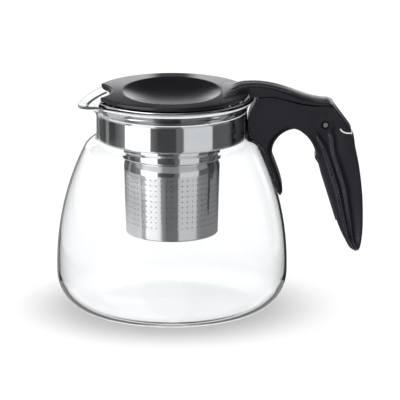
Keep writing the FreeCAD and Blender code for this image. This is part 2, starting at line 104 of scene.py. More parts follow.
# cubic curve through spots given at knots: between two spots it blends their places and slopes
def curveThrough(knots, spots, at):
    knots, spots = np.asarray(knots, float), np.asarray(spots, float)
    slope = np.gradient(spots, knots, axis=0)
    k = np.clip(np.searchsorted(knots, at, side="right") - 1, 0, len(knots) - 2)
    step = knots[k + 1] - knots[k]
    t = (at - knots[k]) / step
    if spots.ndim > 1:
        t, step = t[:, None], step[:, None]
    return ((2 * t**3 - 3 * t**2 + 1) * spots[k] + (t**3 - 2 * t**2 + t) * step * slope[k]
            + (3 * t**2 - 2 * t**3) * spots[k + 1] + (t**3 - t**2) * step * slope[k + 1])


# each cell of the grid joins its four corners, and a wrapped side meets its first line again
def gridFaces(rows, columns, wrapRows=True, wrapColumns=True):
    row, column = np.meshgrid(np.arange(rows - (not wrapRows)), np.arange(columns - (not wrapColumns)),
                              indexing="ij")
    nextRow, nextColumn = (row + 1) % rows, (column + 1) % columns
    return np.stack([row * columns + column, nextRow * columns + column,
                     nextRow * columns + nextColumn, row * columns + nextColumn], -1).reshape(-1, 4).tolist()


# points at a distance from the Z axis, an angle round it and a height
def spotsRound(radius, angle, height):
    return spotsAt(radius * np.cos(angle), radius * np.sin(angle), height)


# a section of (radius, height) carried round the Z axis, as rows of columns
def turned(section, columns):
    angle = np.linspace(0, 2 * math.pi, columns, endpoint=False)[:, None]
    return spotsRound(section[:, 0], angle, section[:, 1])


# a closed outline of (x, z) carried across Y between two faces
def slab(outline, near, far):
    outline = np.asarray(outline, float)
    count = len(outline)
    rows = [spotsAt(outline[:, 0], y, outline[:, 1]) for y in (near, far)]
    faces = gridFaces(2, count, False, True)
    return np.concatenate(rows), faces + [list(range(count)), list(range(2 * count - 1, count - 1, -1))]


# rows of points with the faces between them
def gridPart(points, wrapRows=True, wrapColumns=True):
    return points, gridFaces(*points.shape[:2], wrapRows, wrapColumns)


# the same points once for each finish, with the faces that take it
def byFinish(points, faces, *where):
    return [(points, faces[each].tolist(), look) for look, each in enumerate(where)]


# triangles from the first point of a ring to each of its other sides
def fanFaces(count):
    k = np.arange(1, count - 1)
    return np.stack([0 * k, k, k + 1], -1).tolist()


# one mesh from several sets of points and faces, with points nearer than the weld merged and its faces turned
# outwards
def joinedMesh(name, parts, weld):
    points, faces, looks, start = [], [], [], 0
    for partPoints, partFaces, *look in parts:
        partPoints = np.asarray(partPoints, float).reshape(-1, 3)
        points.append(partPoints)
        faces += [[corner + start for corner in face] for face in partFaces]
        looks += (look or [0]) * len(partFaces)
        start += len(partPoints)
    mesh = bpy.data.meshes.new(name)
    mesh.from_pydata((np.concatenate(points) * mm).tolist(), [], faces)
    mesh.polygons.foreach_set("material_index", looks)
    work = bmesh.new()
    work.from_mesh(mesh)
    if weld:
        bmesh.ops.remove_doubles(work, verts=work.verts, dist=weld * mm)
    bmesh.ops.recalc_face_normals(work, faces=work.faces)
    work.to_mesh(mesh)
    work.free()
    return mesh


def addObject(name, data):
    added = bpy.data.objects.new(name, data)
    bpy.context.scene.collection.objects.link(added)
    return added


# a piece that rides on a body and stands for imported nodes, its edges sharp above an angle
def addPiece(name, parts, looks, body, slot, *stoodFor, sharp=38.0, weld=0.004):
    mesh = joinedMesh(name, parts, weld)
    for look in looks:
        mesh.materials.append(finishes[look])
    mesh.polygons.foreach_set("use_smooth", np.ones(len(mesh.polygons), bool))
    mesh.set_sharp_from_angle(angle=math.radians(sharp))
    piece = addObject(name, mesh)
    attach(piece, body)
    if stoodFor:
        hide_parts(*stoodFor)
    print("made", name, len(mesh.polygons), "faces")
    return piece


# takes the cutters' slabs out of a piece
def cutFrom(piece, *cutters, sharp):
    cutter = addObject("cutter", joinedMesh("cutter", cutters, 0.0))
    cut = piece.modifiers.new("cut", "BOOLEAN")
    cut.operation, cut.solver, cut.object = "DIFFERENCE", "EXACT", cutter
    left = bpy.data.meshes.new_from_object(piece.evaluated_get(bpy.context.evaluated_depsgraph_get()))
    left.name = piece.name
    piece.modifiers.clear()
    piece.data = left
    left.set_sharp_from_angle(angle=math.radians(sharp))
    bpy.data.objects.remove(cutter)
    print("cut", piece.name, len(left.polygons), "faces")


# finishes

noiseSpread = (0.3, 0.7)  # where most of a noise's values lie


# sets a node's inputs, or links them where the value is another node's output
def setInputs(tree, node, inputs):
    for name, value in inputs.items():
        if isinstance(value, bpy.types.NodeSocket):
            tree.links.new(value, node.inputs[name])
        else:
            node.inputs[name].default_value = value


def addNode(tree, kind, inputs={}, **settings):
    node = tree.nodes.new("ShaderNode" + kind)
    for name, value in settings.items():
        setattr(node, name, value)
    setInputs(tree, node, inputs)
    return node


def addMath(tree, kind, *values):
    return addNode(tree, "Math", dict(enumerate(values)), operation=kind).outputs[0]


# noise on Object coordinates, stretched by a Mapping node
def addNoise(tree, scale, stretch=(1, 1, 1), detail=3.0):
    place = addNode(tree, "TexCoord").outputs["Object"]
    place = addNode(tree, "Mapping", {"Vector": place, "Scale": stretch}).outputs["Vector"]
    return addNode(tree, "TexNoise", {"Vector": place, "Scale": scale, "Detail": detail}).outputs["Fac"]


# goes from first to last while the value goes from low to high
def addSpan(tree, value, low, high, first=0.0, last=1.0, kind="SMOOTHSTEP"):
    return addNode(tree, "MapRange", {"Value": value, "From Min": low, "From Max": high, "To Min": first,
                                      "To Max": last}, interpolation_type=kind).outputs["Result"]


# colours that follow a value through stops of (place, colour)
def addRamp(tree, value, stops):
    ramp = addNode(tree, "ValToRGB", {"Fac": value})
    elements = ramp.color_ramp.elements
    while len(elements) < len(stops):
        elements.new(1.0)
    for element, (place, colour) in zip(elements, stops):
        element.position = place
        element.color = (*colour, 1)
    return ramp.outputs["Color"]


def newFinish(name, inputs={}):
    finish = bpy.data.materials.new(name)
    finish.use_nodes = True
    tree = finish.node_tree
    shader = tree.nodes["Principled BSDF"]
    setInputs(tree, shader, inputs)
    return finish, tree, shader


def addRoughness(tree, shader, noise, smooth, rough):
    setInputs(tree, shader, {"Roughness": addSpan(tree, noise, *noiseSpread, smooth, rough, "LINEAR")})


# base colour and roughness that follow one noise
def addGrain(tree, shader, noise, dark, light, smooth, rough):
    setInputs(tree, shader, {"Base Color": addRamp(tree, noise, list(zip(noiseSpread, (dark, light))))})
    addRoughness(tree, shader, noise, smooth, rough)


def addBump(tree, shader, noise, depth, strength):
    bump = addNode(tree, "Bump", {"Height": noise, "Distance": depth * mm, "Strength": strength})
    setInputs(tree, shader, {"Normal": bump.outputs["Normal"]})


# glass with a faint uneven surface: its colour, how clear it is, how much it bends light, and its waves
def meltedGlass(name, colour, clearness, bend, smooth, rough, waves=0.0):
    finish, tree, shader = newFinish(name, {"Base Color": (*colour, 1), "Transmission Weight": clearness,
                                            "IOR": bend})
    addRoughness(tree, shader, addNoise(tree, 60.0), smooth, rough)
    if waves:
        addBump(tree, shader, addNoise(tree, 22.0, (1, 1, 0.6), 1.0), 0.25, waves)
    return finish


# bright steel sheet, with the fine rings that drawing and polishing leave round it
def drawnSteel(name, dark, light, smooth, rough, rings):
    finish, tree, shader = newFinish(name, {"Metallic": 1.0})
    grain = addNoise(tree, 40.0, (1, 1, 90), 4.0)
    addGrain(tree, shader, grain, dark, light, smooth, rough)
    addBump(tree, shader, grain, 0.02, rings)
    return finish


# moulded plastic with a fine spark-eroded skin and a cloudy sheen
def mouldedPlastic(name, dark, light, smooth, rough, skin, sheen=0.0):
    finish, tree, shader = newFinish(name, {"Sheen Weight": sheen, "Sheen Roughness": 0.25,
                                            "Sheen Tint": (0.97, 0.95, 1.0, 1),
                                            "Specular Tint": (0.93, 0.91, 1.0, 1)})
    addGrain(tree, shader, addNoise(tree, 55.0), dark, light, smooth, rough)
    addBump(tree, shader, addNoise(tree, 2600.0, (1, 1, 1), 2.0), 0.05, skin)
    return finish


# clear body; a painted highlight on the lip and the crease, whose rows take a pale, nearly opaque glass; and
# painted shade on the spout's rolled edge, whose rows take a dark, nearly opaque glass for the dark look of its
# thick glass
glassLooks = {
    "jugGlass": ((0.985, 0.995, 0.998), 1.0, 1.33, 0.0, 0.012, 0.05),
    "paintedLipHighlight": ((0.97, 0.985, 0.99), 0.12, 1.45, 0.08, 0.16),
    "spoutPaintedShade": ((0.10, 0.105, 0.11), 0.2, 1.33, 0.05, 0.1),
}
# dark and light tone, smoothest and roughest, and strength of the rings or the skin, and for plastic the sheen
steelLooks = {
    "collarSteel": ((0.80, 0.81, 0.82), (0.86, 0.87, 0.88), 0.03, 0.06, 0.02),
    "basketSteel": ((0.84, 0.84, 0.85), (0.90, 0.90, 0.91), 0.09, 0.13, 0.02),
    # the walls through the holes: rough like a cut edge, and dark as painted shade in the holes
    "holeWallPaintedShade": ((0.16, 0.16, 0.16), (0.24, 0.24, 0.24), 0.5, 0.6, 0.1),
    "pinSteel": ((0.30, 0.30, 0.31), (0.38, 0.38, 0.39), 0.22, 0.34, 0.1),
}
plasticLooks = {
    "lidBlack": ((0.008, 0.0075, 0.0115), (0.011, 0.0105, 0.0145), 0.10, 0.13, 0.06, 0.05),
    # the dish: smoother than the lid, and a darker black that is painted shade
    "dishPaintedShade": ((0.006, 0.006, 0.009), (0.008, 0.008, 0.011), 0.13, 0.17, 0.04),
    "armBlack": ((0.007, 0.0065, 0.0100), (0.010, 0.0095, 0.0130), 0.26, 0.32, 0.12, 0.7),
    "handleBlack": ((0.006, 0.0055, 0.0095), (0.009, 0.0085, 0.0125), 0.24, 0.30, 0.12),
    # near-black: painted shade in the pin's recesses
    "recessPaintedShade": ((0.002, 0.002, 0.002), (0.003, 0.003, 0.003), 0.7, 0.8, 0.1),
    # pale: a painted highlight along the seat's ledge
    "seatPaintedHighlight": ((0.70, 0.70, 0.70), (0.80, 0.80, 0.80), 0.25, 0.35, 0.05),
    "padBlack": ((0.03, 0.03, 0.03), (0.05, 0.05, 0.05), 0.5, 0.65, 0.3),
}
makers = ((meltedGlass, glassLooks), (drawnSteel, steelLooks), (mouldedPlastic, plasticLooks))
finishes = {name: make(name, *look) for make, looks in makers for name, look in looks.items()}
print("finishes:", ", ".join(finishes))


# glass jug

jug = {
    "bodyRadius": -nodeBox("glass_jug")[0][0],
    "cornerRadius": 25.0,
    "sideHeight": 30.0,
    "sideRadius": 175.0,
    "shoulderHeight": 112.0,
    "shoulderRadius": 9.0,
    "neckRadius": 49.0,
    "neckFillet": 2.5,
    "wall": 1.5,
    "floor": 2.6,
    "rimHeight": nodeBox("glass_jug")[1][2],
    "rimRadius": 53.7,
    "flareDepth": 11.0,
    "lipAngle": 52.0,
    "lipSwell": 0.2,  # how much thicker than the wall each face of the lip is
    "spoutReach": 61.0,
    "spoutDrop": 5.5,
    "spoutSpread": 24.0,
    "spoutAngle": 8.0,
    "paintedHighlightRows": (3, 15, 16, 17),  # rows of the rim that take the painted highlight and show as bright rings: the crease and the lip
    "paintedShadeRows": (11, 12, 19, 20, 21, 22, 23),  # rows round the spout that take the painted shade and look dark
    "clearAngle": 34.0,  # half angle round the spout where the rows of painted shade take the place of those of the painted highlight
    "columns": 192,
}


# half section of the jug up to its neck, grown outwards: flat base, corner arc, long side arc,
# shoulder arc and a small reversed arc into the neck, each tangent to the next
def jugSection(grow, floor):
    corner, side = jug["cornerRadius"] + grow, jug["sideRadius"] + grow
    shoulder, fillet = jug["shoulderRadius"] + grow, jug["neckFillet"] - grow
    wall, neck = jug["bodyRadius"] + grow, jug["neckRadius"] + grow
    sideCentre = np.array([jug["bodyRadius"] - jug["sideRadius"], jug["sideHeight"]])
    drop = jug["shoulderHeight"] - jug["shoulderRadius"] - jug["sideHeight"]
    span = jug["sideRadius"] - jug["shoulderRadius"]
    shoulderCentre = sideCentre + [math.sqrt(span**2 - drop**2), drop]
    reach = neck + fillet - shoulderCentre[0]
    climb = math.sqrt((shoulder + fillet) ** 2 - reach**2)
    turn = math.degrees(math.atan2(drop, math.sqrt(span**2 - drop**2)))
    meet = math.degrees(math.atan2(climb, reach))
    flat = np.linspace(0, 1, 9)[:, None] * [wall - corner, 0] + [0, floor]
    return np.concatenate([
        flat,
        arc((wall - corner, floor + corner), corner, -90, 0, 14)[1:],
        arc(sideCentre, side, 0, turn, 26),
        arc(shoulderCentre, shoulder, turn, meet, 12)[1:],
        arc(shoulderCentre + [reach, climb], fillet, meet + 180, 180, 8)[1:],
    ])


# flared rim at every azimuth: a cubic from the neck to the lip, pulled out and down round the spout
# by a bell curve of the angle, thickened to both sides and closed by a half circle at the lip
def rimSections(azimuth):
    share = np.exp(-(((azimuth - 180) / jug["spoutSpread"]) ** 2))[:, None]
    half = jug["wall"] / 2
    lipHalf = half + jug["lipSwell"]
    tilt = np.radians(mix(jug["lipAngle"], jug["spoutAngle"], share))
    start = spotsAt(jug["neckRadius"] - half, jug["rimHeight"] - jug["flareDepth"] - 3 * share)
    lip = spotsAt(mix(jug["rimRadius"], jug["spoutReach"], share) - lipHalf,
                  jug["rimHeight"] - jug["spoutDrop"] * share - lipHalf)
    rise = jug["flareDepth"] * mix(0.4, 0.55, share)
    pull = jug["flareDepth"] * mix(0.45, 0.55, share)
    second = start + spotsAt(0, rise)
    third = lip - spotsAt(np.cos(tilt), np.sin(tilt)) * pull[:, None]
    t = np.linspace(0, 1, 18)[None, :, None]
    middle = (1 - t) ** 3 * start + 3 * t * (1 - t) ** 2 * second + 3 * t**2 * (1 - t) * third + t**3 * lip
    along = (1 - t) ** 2 * (second - start) + 2 * t * (1 - t) * (third - second) + t**2 * (lip - third)
    along /= np.linalg.norm(along, axis=-1, keepdims=True)
    outward = spotsAt(along[..., 1], -along[..., 0])
    angle = np.linspace(0, math.pi, 9)[None, 1:-1, None]
    cap = lip + lipHalf * (np.cos(angle) * outward[:, -1:] + np.sin(angle) * along[:, -1:])
    thick = half + jug["lipSwell"] * ease(t, 0.72, 1.0)
    return middle + thick * outward, cap, middle - thick * outward


def makeJug():
    azimuth = np.linspace(0, 360, jug["columns"], endpoint=False)
    outside = jugSection(0.0, 0.0)
    inside = jugSection(-jug["wall"], jug["floor"])
    rimOutside, cap, rimInside = rimSections(azimuth)
    everywhere = np.ones((jug["columns"], 1, 1))
    section = np.concatenate([outside * everywhere, rimOutside, cap, rimInside[:, ::-1],
                              inside[::-1] * everywhere], 1)
    angle = np.radians(azimuth)[:, None]
    points = spotsRound(section[..., 0], angle, section[..., 1])
    faces = np.array(gridFaces(*points.shape[:2], True, False))
    column, row = np.divmod(faces[:, 0], points.shape[1])
    atSpout = np.abs(azimuth[column] - 180) <= jug["clearAngle"]
    # the painted highlight's rows, away from the spout
    bright = np.isin(row - len(outside), jug["paintedHighlightRows"]) & ~atSpout
    # the painted shade's rows, round the spout
    dark = np.isin(row - len(outside), jug["paintedShadeRows"]) & atSpout
    addPiece("glass_jug_blown", byFinish(points, faces, ~bright & ~dark, bright, dark),
             ["jugGlass", "paintedLipHighlight", "spoutPaintedShade"], "jug", "jug_glass", "glass_jug", sharp=60.0)


makeJug()


# steel infuser

infuser = {
    "steel": 0.6,
    "flangeRadius": nodeBox("infuser_collar")[1][0],
    "flangeTop": nodeBox("infuser_collar")[1][2],
    "collarRadius": 47.25,
    "flareRadius": 50.9,
    "flareFoot": 131.6,
    "collarFloor": 113.5,
    "gapWidth": 54.0,  # the pour gap under the lid's notch: width, foot and reach from the axis
    "gapFoot": 133.6,
    "gapReach": (36.0, 60.0),
    "sleeveRadius": 31.5,
    "sleeveFoot": nodeBox("infuser_collar")[0][2],
    "grooveDepth": 1.5,
    "grooveHeight": 3.0,
    "drawIn": 2.6,  # how far below the shoulder the wall begins to draw in
    "seatGap": 0.1,
    "neckDrop": 0.3,  # from the sleeve's foot down to the bend of the neck
    "basketBase": nodeBox("infuser_basket")[0][2],
    "basketTaper": 1.5,
    "basketLip": 4.0,
    "holeColumns": 56,
    "holeRows": 10,
    "holePitch": 3.55,
    "holeRadius": 0.44,
    "firstHole": 7.0,  # from the basket's shoulder down to the first row
    "columns": 160,
}


# sheet bent along its middle line: flange, flare, wall, floor, sleeve and a turned-in foot
def makeCollar():
    steel, foot = infuser["steel"], infuser["sleeveFoot"]
    wall, sleeve = infuser["collarRadius"], infuser["sleeveRadius"]
    top, floor = infuser["flangeTop"], infuser["collarFloor"]
    flare, flareFoot = infuser["flareRadius"], infuser["flareFoot"]
    corners = [
        (infuser["flangeRadius"], top - steel), (infuser["flangeRadius"], top), (flare - steel, top),
        (wall - steel, flareFoot), (wall - steel, floor + steel), (sleeve - steel, floor + steel),
        (sleeve - steel, foot + steel), (sleeve - infuser["grooveDepth"], foot + steel),
        (sleeve - infuser["grooveDepth"], foot), (sleeve, foot), (sleeve, floor), (wall, floor),
        (wall, flareFoot), (flare, top - steel),
    ]
    setBack = [0.25, 0.25, 1.2, 1.2, 0.5, 0.4, 0.3, 0.2, 0.2, 1.4, 0.5, 0.6, 1.2, 0.6]
    points = turned(roundCorners(corners, setBack), infuser["columns"])
    collar = addPiece("infuser_collar_spun", [gridPart(points)], ["collarSteel"], "infuser", "polished_steel",
                      "infuser_collar", sharp=50.0)
    low, half = infuser["gapFoot"], infuser["gapWidth"] / 2
    near, far = infuser["gapReach"]
    gap = [(-far, low), (-near, low), (-near, top + 1), (-far, top + 1)]
    cutFrom(collar, slab(gap, -half, half), sharp=50.0)


# a patch of sheet for each hole, on the outer and the inner face of the basket: eight points round the
# patch, eight round the hole, and a short wall through the sheet between the two faces, whose rough dark
# steel is painted shade in the holes
def perforatedWall(radiusAt, shoulder):
    columns, rows, pitch = infuser["holeColumns"], infuser["holeRows"], infuser["holePitch"]
    ring = np.array([(1, 0), (1, 1), (0, 1), (-1, 1), (-1, 0), (-1, -1), (0, -1), (1, -1)], float)
    turn = 2 * math.pi / columns
    height = shoulder - infuser["firstHole"] - pitch * np.arange(rows)
    angle = turn * np.arange(columns)
    patch = ring * [turn / 2, pitch / 2]
    unit = ring / np.linalg.norm(ring, axis=1, keepdims=True)
    hole = unit * [infuser["holeRadius"] / infuser["sleeveRadius"], infuser["holeRadius"]]
    cell = np.concatenate([patch, hole])
    spots = spotsAt(angle[:, None, None] + cell[:, 0], height[:, None] + cell[:, 1]).reshape(-1, 16, 2)

    def lay(depth):
        return spotsRound(radiusAt(spots[..., 1]) - depth, spots[..., 0], spots[..., 1])

    points = np.concatenate([lay(0.0), lay(infuser["steel"])], 1)
    k = np.arange(8)
    n = (k + 1) % 8
    outerFace = np.stack([k, n, n + 8, k + 8], -1)
    innerFace = outerFace[:, ::-1] + 16
    throughFace = np.stack([k + 8, n + 8, n + 24, k + 24], -1)
    first = (np.arange(len(points)) * 32)[:, None, None]
    sheet = (first + np.concatenate([outerFace, innerFace])).reshape(-1, 4).tolist()
    through = (first + throughFace).reshape(-1, 4).tolist()
    return [(points, sheet), (points, through, 1)], height[0] + pitch / 2, height[-1] - pitch / 2


# cup hooked over the sleeve's foot: a plain shoulder, the perforated wall and a plain foot with a lip
def makeBasket():
    steel, foot = infuser["steel"], infuser["sleeveFoot"]
    neck = infuser["sleeveRadius"] - infuser["grooveDepth"] - infuser["seatGap"]
    hook = infuser["sleeveRadius"] - steel - infuser["seatGap"]
    shoulder = foot - infuser["grooveHeight"]
    base = infuser["basketBase"]
    footRadius = infuser["sleeveRadius"] - infuser["basketTaper"]

    def radiusAt(height):
        return mix(footRadius, infuser["sleeveRadius"], (height - base) / (shoulder - steel - base))

    parts, top, low = perforatedWall(radiusAt, shoulder)
    hookUnder = foot + steel
    waist = shoulder - infuser["drawIn"]
    neckFoot = foot - infuser["neckDrop"]
    bend = roundCorners([(radiusAt(top) - steel, top), (radiusAt(waist) - steel, waist),
                         (neck - steel, neckFoot), (neck - steel, hookUnder + steel), (hook, hookUnder + steel),
                         (hook, hookUnder), (neck, hookUnder), (neck, neckFoot), (radiusAt(waist), waist),
                         (radiusAt(top), top)],
                        [0.0, 2.0, 0.3, 0.3, 0.1, 0.1, 0.3, 0.3, 2.0, 0.0])
    lip = footRadius - infuser["basketLip"]
    rim = roundCorners([(radiusAt(low), low), (footRadius, base), (lip, base), (lip, base + steel),
                        (footRadius - steel, base + steel), (radiusAt(low) - steel, low)],
                       [0.0, 1.0, 0.2, 0.2, 0.6, 0.0])
    for section in (bend[:-2], rim[:-2]):
        parts.append(gridPart(turned(section, 2 * infuser["holeColumns"]), True, False))
    addPiece("infuser_basket_drawn", parts, ["basketSteel", "holeWallPaintedShade"], "infuser", "basket_steel",
             "infuser_basket", sharp=60.0)


makeCollar()
makeBasket()


# lid

lid = {
    "radius": nodeBox("lid_cover")[1][1],
    "top": nodeBox("lid_cover")[1][2],
    "edge": 3.2,
    "edgeRound": 0.6,
    "footRound": 0.4,
    "fall": 0.9,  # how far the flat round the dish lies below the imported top
    "dishLength": 31.6,  # half sizes of the oval dish
    "dishWidth": 38.5,
    "dishDepth": 4.2,
    "notchRadius": 32.0,
    "notchDepth": 11.0,
    "notchSkirt": 1.7,  # how far the notch's wall hangs below the rim
    "skirtFade": 2.0,
    "linerRadius": 37.5,
    "linerDepth": 6.0,
    "linerColumns": 128,
    "wall": 1.6,
    "landing": 1.0,  # least width of the rim's underside
    "columns": 240,
    "rows": (28, 14, 7),  # over the dish, over the flat and round each bend
}
notchCentre = lid["radius"] - lid["notchDepth"] + lid["notchRadius"]


# distance from the axis to the lid's edge: the round plate, or the notch's circle where that comes first
def lidEdge(angle):
    along = -notchCentre * np.cos(angle)
    inside = along**2 - notchCentre**2 + lid["notchRadius"] ** 2
    near = np.where((inside > 0) & (along > 0), along - np.sqrt(np.maximum(inside, 0)), lid["radius"])
    return np.minimum(near, lid["radius"])


# rows run from the middle of the dish to its oval edge, over the flat to the rounded rim, and back below;
# the dish's depth falls with the square of the distance from its middle
def makeLidCover():
    corner = math.acos(-(lid["radius"] ** 2 + notchCentre**2 - lid["notchRadius"] ** 2)
                       / (2 * lid["radius"] * notchCentre))
    angle = np.sort(np.append(np.linspace(0, 2 * math.pi, lid["columns"], endpoint=False),
                              [corner, 2 * math.pi - corner]))
    edge = lidEdge(angle)[:, None]
    oval = 1 / np.hypot(np.cos(angle) / lid["dishLength"], np.sin(angle) / lid["dishWidth"])[:, None]
    dishRows, flatRows, bendRows = lid["rows"]
    share = np.linspace(0, 1, dishRows)[None]
    lift = np.linspace(0, 1, flatRows)[None, 1:]
    turn = np.radians(np.linspace(0, 90, bendRows))[None]
    edgeRound, footRound = lid["edgeRound"], lid["footRound"]
    under = lid["top"] - lid["edge"]
    top = lid["top"] - lid["fall"] + 0 * edge
    dish = (oval * share, top - lid["dishDepth"] * (1 - share**2))
    flatRadius = oval + (edge - edgeRound - oval) * lift
    flat = (flatRadius, 0 * flatRadius + top)
    rim = (edge - edgeRound + edgeRound * np.sin(turn), top - edgeRound + edgeRound * np.cos(turn))
    skirt = lid["notchSkirt"] * ease(lid["radius"] - edge, 0.0, lid["skirtFade"])
    foot = (edge - footRound * (1 - np.cos(turn)), under + footRound - footRound * np.sin(turn) - skirt)
    inner = np.minimum(lid["linerRadius"] - lid["wall"], edge - lid["landing"])
    below = (np.concatenate([inner, inner, 0 * inner], 1),
             np.concatenate([0 * inner + under, 0 * inner + under + footRound,
                             0 * inner + lid["top"] - lid["dishDepth"] - lid["wall"]], 1))
    rows = (dish, flat, rim, foot, below)
    radius = np.concatenate([row[0] for row in rows], 1)
    height = np.concatenate([row[1] for row in rows], 1)
    points = spotsRound(radius, angle[:, None], height)
    faces = np.array(gridFaces(*points.shape[:2], True, False))
    row = faces[:, 0] % points.shape[1]
    # faces in the dish take the darker black, painted shade
    inDish = row < share.size - 1
    onSide = row >= share.size + lift.size + turn.size - 2
    addPiece("lid_cover_moulded", byFinish(points, faces, ~inDish & ~onSide, inDish, onSide),
             ["lidBlack", "dishPaintedShade", "handleBlack"], "lid", "lid_black", "lid_cover", sharp=22.0)


# shallow cup under the cover, turned from its rounded section
def makeLidLiner():
    under = lid["top"] - lid["edge"]
    floor = under - lid["linerDepth"]
    outside, inside = lid["linerRadius"], lid["linerRadius"] - lid["wall"]
    level, axis = floor + lid["wall"] / 2, 0.01
    section = roundCorners([(outside, floor), (outside, under), (inside, under), (inside, level), (axis, level),
                            (axis, floor)], [1.2, 0.1, 0.1, 0.6, 0.0, 0.0])
    addPiece("lid_liner_moulded", [gridPart(turned(section, lid["linerColumns"]))], ["lidBlack"], "lid",
             "lid_black", "lid_liner")


makeLidCover()
makeLidLiner()


# lever arm

pinLow, pinHigh = nodeBox("hinge_pin")
pin = (pinLow + pinHigh) / 2

arm = {
    "width": 20.0,
    "rootWidth": 44.0,
    "rootStart": 33.0,
    "rootFade": 9.5,
    "rootSink": 0.3,  # how far the root goes into the lid's flat
    "thumbEnd": 104.4,
    "thumbCorner": (2.2, 1.6),  # length and depth of the rounding at the thumb's end
    "thinnest": 0.25,
    "crown": 1.2,
    "sideRound": 2.2,
    "grooves": (1.2, -6.4),
    "grooveWidth": 0.8,
    "grooveDepth": 0.7,
    "grooveSpan": (37.0, 43.0, 64.0, 82.0),  # where the grooves begin, are full, begin to fade and end
    "ridgePitch": 1.7,
    "ridgeDepth": 0.28,
    "ridgeSpan": (91.0, 92.5, 101.0, 102.5),
    "ridgeSides": (0.72, 0.86),  # shares of the half width between which the ridges end
    "gap": 0.7,  # between the arm and the handle's cheeks
    "leverWidth": 12.6,
    "hubRadius": 6.0,
    "boreRadius": 1.55,
    "grid": (150, 61, 9),  # stations along the arm, points over its top and points under it
}

# top line and the handle's cheek line, as distances from the axis and heights
armTop = np.array([(33.0, 145.0), (36.5, 146.3), (43.0, 149.2), (52.0, 150.3), (64.8, 149.0), (77.0, 145.4),
                   (89.0, 141.2), (97.0, 139.4), (102.6, 138.5), (104.4, 137.0)])
cheekLine = np.array([(54.7, 141.6), (57.0, 141.6), (67.0, 141.8), (85.0, 137.2), (93.0, 136.2),
                      (103.0, 136.0)])


# stations along the arm, each a closed section: a crowned top with two grooves and thumb ridges, rounded
# sides, and an underside that lies on the lid at the root and over the cheeks behind it
def makeArm():
    stations, across, down = arm["grid"]
    x = np.linspace(arm["rootStart"], arm["thumbEnd"], stations)
    top = curveThrough(armTop[:, 0], armTop[:, 1], x)
    cheek = np.interp(x, cheekLine[:, 0], cheekLine[:, 1]) + arm["gap"]
    under = np.where(x < lid["radius"], lid["top"] - lid["fall"] - arm["rootSink"], cheek)
    under = np.minimum(under, top - arm["thinnest"])
    plain = arm["width"] / 2
    half = plain + (arm["rootWidth"] / 2 - plain) * np.exp(-(((x - arm["rootStart"]) / arm["rootFade"]) ** 2))
    length, depth = arm["thumbCorner"]
    half = (half - depth * ease(x, arm["thumbEnd"] - length, arm["thumbEnd"]) ** 2)[:, None]
    y = half * np.sin(np.linspace(-1, 1, across) * math.pi / 2)[None]
    share = np.abs(y) / half
    most = 0.6 * (top - under)[:, None]     # no rounding takes more of the arm's depth than this
    drop = np.minimum(arm["crown"] * (half / plain) ** 2, most) * share**2
    side = np.minimum(arm["sideRound"], most)
    drop = drop + side * (1 - quarter(np.clip((half - np.abs(y)) / side, 0, 1)))
    fade = hump(x, arm["grooveSpan"])[:, None]
    for place in arm["grooves"]:
        centre = place * (half / plain) ** 0.6
        drop = drop + arm["grooveDepth"] * fade * np.exp(-(((y - centre) / arm["grooveWidth"]) ** 2))
    ridge = 0.5 - 0.5 * np.cos(2 * math.pi * (x - arm["ridgeSpan"][0]) / arm["ridgePitch"])
    ridged = (ridge * hump(x, arm["ridgeSpan"]))[:, None]
    drop = drop + arm["ridgeDepth"] * ridged * (1 - ease(share, *arm["ridgeSides"]))
    upper = spotsAt(x[:, None], y, np.maximum(top[:, None] - drop, under[:, None] + 0.1))
    lower = spotsAt(x[:, None], half * np.linspace(1, -1, down)[None], under[:, None])
    points = np.concatenate([upper, lower], 1)
    strip = gridPart(points, False)
    caps = [(end, fanFaces(len(end))) for end in (points[0], points[-1, ::-1])]
    lever = slab(leverOutline(), -arm["leverWidth"] / 2, arm["leverWidth"] / 2) + (1,)
    addPiece("lid_arm_moulded", [strip, lever] + caps, ["armBlack", "handleBlack"], "lid", "arm_black",
             "lid_arm")


# the narrow part below the arm: a web down to the hook over the pin, and a tail behind it
def leverOutline():
    hub, bore = arm["hubRadius"], arm["boreRadius"]
    mouth = math.degrees(math.acos(bore / hub))
    axis = pin[[0, 2]]
    return np.concatenate([
        [(80.0, 139.6), (92.0, 137.4), (102.6, 137.2), (104.2, 136.4), (114.7, 122.2), (116.2, 119.6),
         (115.3, 117.6), (110.6, 118.4)],
        arc(axis, hub, 8, -mouth, 12), arc(axis, bore, 0, 180, 12), arc(axis, hub, mouth - 180, -205, 14),
        [(90.2, 131.2), (84.1, 135.0)],
    ])


makeArm()


# handle

handle = {
    "width": 20.0,
    "tipWidth": 14.0,
    "edgeRound": 0.8,
    "tongueRound": 6.5,
    "archRound": 4.2,
    "ridges": ((7.5, 1.6), (12.3, 1.9)),  # distance from the finger side and half width of each ridge
    "ridgeHeight": 1.5,
    "ridgeSpread": 9.0,  # how far the second ridge swings out past the pin at its upper end
    "shelfFall": 0.8,  # depth of the face just behind the second ridge
    "slotWidth": 13.2,
    "slotReach": 18.8,
    "recessRadius": 3.0,
    "recessDepth": 1.6,
    "seatBead": 0.5,
    "barb": 1.7,
    "barbDepth": 1.6,  # how far from the edge the barb fades into the grip
    "fingerRound": 1.6,
    "deepestRound": (3.2, 3.0),  # most that the rounding takes off at the finger side and outside
    "pinClear": (3.4, 8.0),  # distances from the pin between which the ridges rise
    "ridgeBreadth": 23.4,  # breadth of the grip to which the ridges' places belong
    # shares of the way from the tongue's tip to the grip's tip
    "barbSpan": (0.562, 0.578, 0.578, 0.625),
    "tongueFade": (0.22, 0.31),
    "archFade": (0.36, 0.50),
    "gripSpan": (0.47, 0.60, 0.93, 0.985),
    "spreadFade": (0.49, 0.62),
    "saddleFade": (0.30, 0.36),
    "stations": 280,
    "across": 120,
}

